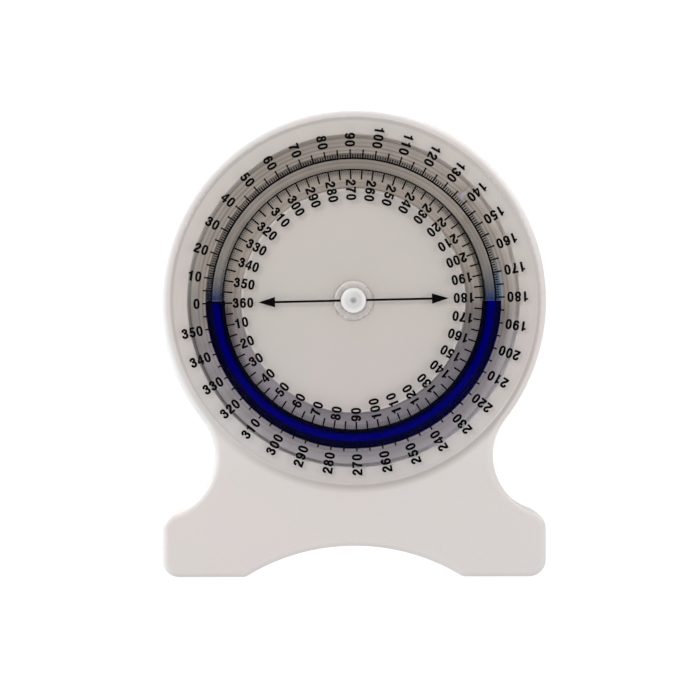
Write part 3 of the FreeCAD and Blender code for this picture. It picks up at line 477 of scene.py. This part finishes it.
coat_with(nodes["front_housing"], housing_look)
coat_with(nodes["rear_cover"], cover_look)
coat_with(nodes["cover_screws"], zinc_look)
coat_with(nodes["dial_lens"], lens_look)
coat_with(nodes["channel_ring"], ring_look)
coat_with(nodes["fill_plug"], plug_plastic())
coat_with(nodes["indicator_fluid"], liquid_look)
coat_with(nodes["hub_pin"], white_acetal())
coat_with(nodes["front_washer"], slip_plastic())
coat_with(nodes["rear_washer"], zinc_look)
coat_with(nodes["spring_washer"], spring_look)
coat_with(nodes["retaining_ring"], spring_look)

nodes["channel_ring"].visible_shadow = False
nodes["channel_ring"].visible_diffuse = False


# ---------------------------------------------------------------- flat shapes for the ink
def oval(cx, cy, rx, ry, power=2.0, steps=40):
    pts = []
    for i in range(steps):
        t = 2 * math.pi * i / steps
        c, s = math.cos(t), math.sin(t)
        pts.append((
            cx + rx * math.copysign(abs(c) ** (2 / power), c),
            cy + ry * math.copysign(abs(s) ** (2 / power), s),
        ))
    return pts


def spline(points, per=7):
    """A smooth line through the points."""
    pts = [Vector(p) for p in points]
    pts = [2 * pts[0] - pts[1]] + pts + [2 * pts[-1] - pts[-2]]
    made = []
    for a, b, c, d in zip(pts, pts[1:], pts[2:], pts[3:]):
        for i in range(per):
            t = i / per
            made.append(0.5 * (2 * b + (c - a) * t + (2 * a - 5 * b + 4 * c - d) * t * t + (3 * b - a - 3 * c + d) * t ** 3))
    made.append(pts[-2])
    return made


def band(points, widths, smooth=True, per=7):
    """A stroke along the points, as wide as widths says from its start to its end."""
    line = spline(points, per) if smooth else [Vector(p) for p in points]
    n = len(line)
    left, right = [], []
    for i, p in enumerate(line):
        d = (line[min(i + 1, n - 1)] - line[max(i - 1, 0)]).normalized()
        side = Vector((-d.y, d.x))
        at = i / (n - 1) * (len(widths) - 1)
        k = min(int(at), len(widths) - 2)
        w = widths[k] + (widths[k + 1] - widths[k]) * (at - k)
        left.append(p + side * w / 2)
        right.append(p - side * w / 2)
    return [tuple(v) for v in left + right[::-1]]


def box(x0, y0, x1, y1):
    return [(x0, y0), (x1, y0), (x1, y1), (x0, y1)]


# Figures on a grid 1000 high: (adds or cuts, outline), painted in turn. Plain heavy grotesque figures.
DIGITS = {
    "0": [(1, oval(320, 500, 300, 512, 2.35, 48)), (0, oval(320, 500, 112, 346, 2.5, 40))],
    "1": [
        (1, [(258, 0), (452, 0), (452, 1000), (306, 1000), (290, 934), (262, 884), (222, 846), (168, 824), (96, 816),
             (74, 816), (74, 686), (258, 686)]),
    ],
    "2": [
        (1, band([(128, 668), (150, 800), (236, 893), (345, 912), (470, 868), (520, 742), (490, 610), (392, 478),
                  (262, 366), (168, 262), (122, 150), (108, 60)],
                 [188, 186, 180, 176, 180, 192, 196, 196, 196, 200, 206, 210])),
        (0, [(-60, -200), (700, -200), (700, 0), (-60, 0)]),
        (1, box(16, 0, 612, 164)),
        (0, [(-100, 560), (230, 560), (230, 668), (-100, 668)]),
    ],
    "3": [
        (1, band([(116, 690), (140, 806), (222, 893), (322, 912), (440, 876), (494, 762), (462, 642), (374, 588), (262, 586)],
                 [184, 182, 176, 176, 184, 192, 184, 160, 148])),
        (1, band([(262, 536), (384, 532), (486, 468), (528, 306), (478, 158), (328, 88), (200, 116), (126, 206), (104, 316)],
                 [148, 156, 184, 200, 190, 176, 178, 184, 186])),
        (1, box(226, 488, 300, 632)),
        (0, [(-100, 560), (190, 560), (190, 676), (-100, 676)]),
    ],
    "4": [
        (1, [(16, 208), (370, 208), (370, 0), (552, 0), (552, 208), (640, 208), (640, 358), (552, 358), (552, 1000),
             (372, 1000), (16, 384)]),
        (0, [(160, 358), (376, 358), (376, 752)]),
    ],
    "5": [
        (1, box(142, 842, 582, 1000)),
        (1, [(142, 1000), (290, 1000), (238, 520), (72, 462), (66, 470)]),
        (1, band([(160, 506), (246, 568), (352, 578), (474, 522), (528, 352), (480, 170), (330, 88), (198, 118), (124, 206), (106, 298)],
                 [150, 160, 172, 188, 200, 190, 176, 178, 182, 186])),
        (0, [(-100, 300), (205, 300), (205, 430), (64, 430), (40, 330), (-100, 330)]),
    ],
    "6": [
        (1, band([(514, 726), (484, 838), (402, 908), (318, 912), (212, 858), (146, 728), (120, 560), (118, 420), (150, 280)],
                 [184, 182, 176, 178, 186, 192, 194, 194, 190])),
        (1, oval(326, 326, 300, 338, 2.15, 48)),
        (0, oval(330, 322, 112, 178, 2.15, 36)),
        (0, [(428, 640), (700, 640), (700, 726), (428, 726)]),
    ],
    "7": [
        (1, box(28, 836, 618, 1000)),
        (1, band([(528, 900), (440, 780), (352, 610), (290, 420), (252, 220), (242, 0)], [196, 194, 192, 192, 194, 198])),
        (0, [(618, 700), (800, 700), (800, 1100), (618, 1100)]),
    ],
    "8": [
        (1, oval(320, 742, 266, 270, 2.1, 44)),
        (1, oval(320, 292, 302, 304, 2.15, 46)),
        (0, oval(320, 736, 94, 120, 2.1, 32)),
        (0, oval(320, 294, 112, 150, 2.15, 34)),
    ],
}
DIGITS["9"] = [(sign, [(640 - x, 1000 - y) for x, y in outline]) for sign, outline in DIGITS["6"]]
DIGIT_WIDE = 640


def thicker(outline, by):
    """The outline with each point moved outwards."""
    n = len(outline)
    area2 = sum(outline[i - 1][0] * outline[i][1] - outline[i][0] * outline[i - 1][1] for i in range(n))
    turn = 1.0 if area2 > 0 else -1.0
    moved = []
    for i in range(n):
        p = Vector(outline[i])
        a = p - Vector(outline[i - 1])
        b = Vector(outline[(i + 1) % n]) - p
        if a.length < 1e-6 or b.length < 1e-6:
            moved.append(tuple(p))
            continue
        a.normalize()
        b.normalize()
        na, nb = Vector((a.y, -a.x)) * turn, Vector((b.y, -b.x)) * turn
        mid = na + nb
        if mid.length < 1e-6:
            moved.append(tuple(p))
            continue
        mid.normalize()
        moved.append(tuple(p + mid * by / max(mid.dot(na), 0.6)))
    return moved


def within(x, y, outline):
    odd = False
    j = len(outline) - 1
    for i in range(len(outline)):
        xi, yi = outline[i]
        xj, yj = outline[j]
        if (yi > y) != (yj > y) and x < (xj - xi) * (y - yi) / (yj - yi) + xi:
            odd = not odd
        j = i
    return odd


def region(shapes):
    """Triangles of what the shapes leave when they are painted in turn."""
    pts, edges = [], []
    for _, outline in shapes:
        start = len(pts)
        pts += [Vector(p) for p in outline]
        edges += [(start + i, start + (i + 1) % len(outline)) for i in range(len(outline))]
    verts, _, faces, *_ = delaunay_2d_cdt(pts, edges, [], 0, 1e-4)
    kept = []
    for f in faces:
        cx = sum(verts[i].x for i in f) / len(f)
        cy = sum(verts[i].y for i in f) / len(f)
        shown = False
        for sign, outline in shapes:
            if within(cx, cy, outline):
                shown = bool(sign)
        if shown:
            kept.append(list(f))
    used = sorted({i for f in kept for i in f})
    again = {old: new for new, old in enumerate(used)}
    return [(verts[i].x, verts[i].y) for i in used], [[again[i] for i in f] for f in kept]


class Plate:
    """Thin closed shapes gathered into one mesh."""

    def __init__(self):
        self.verts, self.faces = [], []

    def add(self, points, faces, front, back):
        """points are (x, z) in mm, faces run round them, front and back are the depths of each point in mm."""
        front = front if callable(front) else (lambda x, z, v=front: v)
        back = back if callable(back) else (lambda x, z, v=back: v)
        n = len(points)
        base = len(self.verts)
        self.verts += [(x * MM, front(x, z) * MM, z * MM) for x, z in points]
        self.verts += [(x * MM, back(x, z) * MM, z * MM) for x, z in points]
        count = {}
        for f in faces:
            area = sum(points[f[i - 1]][0] * points[f[i]][1] - points[f[i]][0] * points[f[i - 1]][1] for i in range(len(f)))
            f = f if area > 0 else f[::-1]
            self.faces.append([base + i for i in f])                  # seen from -Y
            self.faces.append([base + n + i for i in reversed(f)])
            for a, b in zip(f, f[1:] + f[:1]):
                count[(a, b)] = count.get((a, b), 0) + 1
        for (a, b), times in count.items():
            if (b, a) not in count:
                self.faces.append([base + b, base + a, base + n + a, base + n + b])

    def piece(self, name, body, mat):
        me = bpy.data.meshes.new(name)
        me.from_pydata(self.verts, [], self.faces)
        me.validate()
        me.update()
        ob = bpy.data.objects.new(name, me)
        scene.collection.objects.link(ob)
        me.materials.append(mat)
        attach(ob, body)
        return ob


def spot(r, degrees):
    """A point of the dial in mm, from its radius and its angle from +X, with the dial's own turn."""
    a = math.radians(degrees + PRINT_TURN)
    return (HUB_X + r * math.cos(a), HUB_Z + r * math.sin(a))


GLYPHS = {d: region([(sign, thicker(o, BOLD if sign else -BOLD)) for sign, o in shapes]) for d, shapes in DIGITS.items()}


def number(plate, text, degrees, start_r, high, advance, squeeze):
    """A number that reads inwards along a radius. start_r is where its last figure ends, near the centre side of outer numbers; high is the figures' height in mm."""
    a = math.radians(degrees + PRINT_TURN)
    out = (math.cos(a), math.sin(a))
    read = (-out[0], -out[1])
    up = (-read[1], read[0])
    unit = high / (1000.0 + 2 * BOLD)
    wide = DIGIT_WIDE * unit * squeeze
    total = advance * (len(text) - 1) + wide
    first = start_r + total            # radius of the left edge of the first figure
    for i, d in enumerate(text):
        pts, faces = GLYPHS[d]
        r0 = first - i * advance
        placed = []
        for x, y in pts:
            along = x * unit * squeeze
            rise = (y - 500) * unit
            placed.append((
                HUB_X + out[0] * r0 + read[0] * along + up[0] * rise,
                HUB_Z + out[1] * r0 + read[1] * along + up[1] * rise,
            ))
        plate.add(placed, faces, LENS_Y - INK, LENS_Y)


def bar(plate, r0, r1, degrees, wide, front=LENS_Y - INK, back=LENS_Y):
    """A straight mark along a radius."""
    a = math.radians(degrees + PRINT_TURN)
    out, side = (math.cos(a), math.sin(a)), (-math.sin(a), math.cos(a))
    pts = [
        (HUB_X + out[0] * r + side[0] * s, HUB_Z + out[1] * r + side[1] * s)
        for r, s in ((r0, -wide / 2), (r1, -wide / 2), (r1, wide / 2), (r0, wide / 2))
    ]
    plate.add(pts, [[0, 1, 2, 3]], front, back)


def hoop(plate, r, wide, marks, steps=720):
    """A printed circle with its degree marks, as one outline. marks maps whole degrees to (end radius, width)."""
    inner, outer = r - wide / 2, r + wide / 2
    outwards = next(iter(marks.values()))[0] > r
    rim, other = [], []
    for k in range(360):
        a = float(k)
        end, w = marks[k]
        half = math.degrees(w / 2 / r)
        edge = outer if outwards else inner
        half_end = math.degrees(w / 2 / end)
        rim += [spot(edge, a - half), spot(end, a - half_end), spot(end, a + half_end), spot(edge, a + half)]
        rim += [spot(edge, a + 0.5)]
        plain = inner if outwards else outer
        other += [spot(plain, a - half), spot(plain, a - half / 3), spot(plain, a + half / 3), spot(plain, a + half), spot(plain, a + 0.5)]
    n = len(rim)
    pts = rim + other
    faces = []
    for i in range(n):
        j = (i + 1) % n
        faces.append([i, j, n + j, n + i])
    # the mark itself: the quad of its four corners stands on the circle's edge
    fixed = []
    for k in range(360):
        b = 5 * k
        fixed.append([b, b + 1, b + 2, b + 3])
        fixed.append([b, b + 3, n + b + 3, n + b])
        nxt = (b + 5) % n
        fixed.append([b + 3, b + 4, n + b + 4, n + b + 3])
        fixed.append([b + 4, nxt, n + nxt, n + b + 4])
    keep = sorted({i for f in fixed for i in f})
    again = {old: new for new, old in enumerate(keep)}
    plate.add([pts[i] for i in keep], [[again[i] for i in f] for f in fixed], LENS_Y - INK, LENS_Y)


PX = 3.821                       # picture pixels to one millimetre at the print


def px(v):
    return v / PX


outer_marks, inner_marks = {}, {}
for k in range(360):
    big = k % 5 == 0
    outer_marks[k] = (px(151.2), 0.41) if big else (px(146.1), 0.27)
    inner_marks[k] = (px(121.1), 0.42) if big else (px(126.0), 0.085)
plate = Plate()
hoop(plate, px(142.1), 0.45, outer_marks)
outer_ticks = plate.piece("outer_scale_marks", "dial", ink_look)
plate = Plate()
hoop(plate, px(130.8), 0.34, inner_marks)
inner_ticks = plate.piece("inner_scale_marks", "dial", ink_look)

plate = Plate()
for v in range(0, 360, 10):
    text = str(v)
    number(plate, text, 180 - v, px(153.9), px(10.2), px(7.45), 1.0)
outer_numbers = plate.piece("outer_scale_numbers", "dial", ink_look)
plate = Plate()
for v in range(10, 370, 10):
    text = str(v)
    wide = px(10.0) * DIGIT_WIDE / (1000 + 2 * BOLD) + px(7.3) * (len(text) - 1)
    number(plate, text, 180 + v, px(120.95) - wide, px(10.0), px(7.3), 1.0)
inner_numbers = plate.piece("inner_scale_numbers", "dial", ink_look)

# the zero line across the window between the two circles
plate = Plate()
bar(plate, px(131.4), px(141.6), 180, 0.34)
zero_line = plate.piece("zero_line", "dial", ink_look)

# the double arrow, broken where the hub button stands, running over the bead round it
plate = Plate()
HEAD_TIP, HEAD_BACK, HEAD_HALF, LINE = px(95.5), px(78.5), px(5.2), px(2.2)


def step_back(x, z):
    s = abs(math.hypot(x - HUB_X, z - HUB_Z) - BEAD_MID)
    if s >= BEAD_HALF:
        return LENS_Y
    return LENS_Y - (math.sqrt(BEAD_CURVE * BEAD_CURVE - s * s) - (BEAD_CURVE - BEAD_HIGH))


def step_front(x, z):
    return step_back(x, z) - INK


for side in (0, 180):
    a = math.radians(side + PRINT_TURN)
    out, across = (math.cos(a), math.sin(a)), (-math.sin(a), math.cos(a))

    def at(r, s):
        return (HUB_X + out[0] * r + across[0] * s, HUB_Z + out[1] * r + across[1] * s)

    rs = [3.34, 3.5, 3.62, 3.74, 3.86, 3.98, 4.1, 4.2, 4.3, 4.4, 4.5, 4.62, 4.74, 4.86, 4.98, 5.1, 5.25, 6.0, 9.0, 12.0, 15.0, 18.0, HEAD_BACK]
    pts = [at(r, -LINE / 2) for r in rs] + [at(r, LINE / 2) for r in rs]
    m = len(rs)
    faces = [[i, i + 1, m + i + 1, m + i] for i in range(m - 1)]
    pts += [at(HEAD_BACK, -HEAD_HALF), at(HEAD_TIP, 0.0), at(HEAD_BACK, HEAD_HALF)]
    faces.append([m - 1, 2 * m, 2 * m + 1, 2 * m + 2, 2 * m - 1])
    plate.add(pts, faces, step_front, step_back)
arrow = plate.piece("double_arrow", "dial", ink_look)


# ---------------------------------------------------------------- the film above each end of the liquid
def bore_front(x, z):
    s = min(abs(math.hypot(x - HUB_X, z - HUB_Z) - BORE_MID), 2.47)
    return -4.0 - math.sqrt(2.5 * 2.5 - s * s)


def bore_front_back(x, z):
    return bore_front(x, z) + 0.02


for film_name, left, top in (("left_film", True, 37.0), ("right_film", False, 37.0)):
    plate = Plate()
    columns, rows = 16, 48
    pts, faces = [], []
    for i in range(rows + 1):
        up = 0.05 + (top - 0.05) * i / rows
        a = math.radians(180.0 - up if left else up)
        for j in range(columns + 1):
            r = BORE_MID - 2.45 * math.cos(math.pi * j / columns)
            pts.append((HUB_X + r * math.cos(a), HUB_Z + r * math.sin(a)))
    for i in range(rows):
        for j in range(columns):
            k = i * (columns + 1) + j
            faces.append([k, k + 1, k + columns + 2, k + columns + 1])
    plate.add(pts, faces, bore_front, bore_front_back)
    film = plate.piece(film_name, "fluid", wet_film(film_name + "_look", left))
    film.visible_shadow = False
    film.visible_diffuse = False


# ---------------------------------------------------------------- stage
def floor_look():
    """A pale floor that runs into a white distance."""
    p = Paint("floor_look")
    place = p.object_place()
    far = p.map(p.vec("LENGTH", place), 0.25, 1.1, 0.0, 1.0, "SMOOTHSTEP")
    tone = p.ramp(p.noise(place, 3.0, 2.0, 0.5), [(0.3, (0.055, 0.055, 0.055)), (0.7, (0.06, 0.06, 0.06))])
    p.set(color=p.mix(far, tone, (0.0, 0.0, 0.0)), rough=0.9, spec=0.05, emit=(1, 1, 1), emit_power=p.map(far, 0.0, 1.0, 0.98, 1.0))
    return p.mat


floor_mesh = bpy.data.meshes.new("floor")
S = 6.0
floor_mesh.from_pydata([(-S, -S, 0), (S, -S, 0), (S, S, 0), (-S, S, 0)], [], [[0, 1, 2, 3]])
floor = bpy.data.objects.new("floor", floor_mesh)
scene.collection.objects.link(floor)
floor_mesh.materials.append(floor_look())
floor.location.z = -0.00005

# a white studio, darker on the side that the face looks at
world = bpy.data.worlds.new("studio")
scene.world = world
world.use_nodes = True
wt = world.node_tree
wt.nodes.clear()
w_out = wt.nodes.new("ShaderNodeOutputWorld")
w_place = wt.nodes.new("ShaderNodeTexCoord")
w_dot = wt.nodes.new("ShaderNodeVectorMath")
w_dot.operation = "DOT_PRODUCT"
w_dot.inputs[1].default_value = (0.0, -1.0, 0.0)
wt.links.new(w_place.outputs["Generated"], w_dot.inputs[0])
w_map = wt.nodes.new("ShaderNodeMapRange")
w_map.interpolation_type = "SMOOTHSTEP"
for v, socket in zip((0.80, 0.97, 0.56, 0.06), list(w_map.inputs)[1:5]):
    socket.default_value = v
wt.links.new(w_dot.outputs["Value"], w_map.inputs[0])
w_bg = wt.nodes.new("ShaderNodeBackground")
w_bg.inputs["Color"].default_value = (1, 1, 1, 1)
wt.links.new(w_map.outputs[0], w_bg.inputs["Strength"])
w_seen = wt.nodes.new("ShaderNodeBackground")
w_seen.inputs["Color"].default_value = (1, 1, 1, 1)
w_seen.inputs["Strength"].default_value = 1.03
w_path = wt.nodes.new("ShaderNodeLightPath")
w_mix = wt.nodes.new("ShaderNodeMixShader")
wt.links.new(w_path.outputs["Is Camera Ray"], w_mix.inputs[0])
wt.links.new(w_bg.outputs[0], w_mix.inputs[1])
wt.links.new(w_seen.outputs[0], w_mix.inputs[2])
wt.links.new(w_mix.outputs[0], w_out.inputs["Surface"])


def area(name, where, aim, size, power, colour=(1, 1, 1)):
    data = bpy.data.lights.new(name, "AREA")
    data.shape = "DISK"
    data.size = size
    data.energy = power
    data.color = colour
    ob = bpy.data.objects.new(name, data)
    scene.collection.objects.link(ob)
    ob.location = where
    ob.rotation_euler = (Vector(aim) - Vector(where)).to_track_quat("-Z", "Y").to_euler()
    ob.visible_camera = False
    return ob


centre = (0.0, 0.0, 0.06)
area("key", (-0.34, -0.95, 0.44), centre, 0.4, 2.32)
area("overhead", (-0.16, 0.22, 1.1), centre, 1.0, 11.0)
area("back_left", (-0.9, 0.1, 0.6), centre, 0.6, 5.4)
area("back_right", (0.8, 0.15, 0.7), centre, 0.5, 2.8)
area("fill", (0.72, -0.8, 0.16), centre, 0.6, 1.7)

cam_data = bpy.data.cameras.new("camera")
cam_data.sensor_width = 36.0
cam_data.lens = 96.57
cam_data.clip_start, cam_data.clip_end = 0.01, 50.0
cam = bpy.data.objects.new("camera", cam_data)
scene.collection.objects.link(cam)
cam.location = (-0.00095, -0.5, 0.05981)
cam.rotation_euler = (math.radians(90), math.radians(0.146), 0)
scene.camera = cam

scene.view_settings.view_transform = "Standard"
scene.view_settings.look = "None"
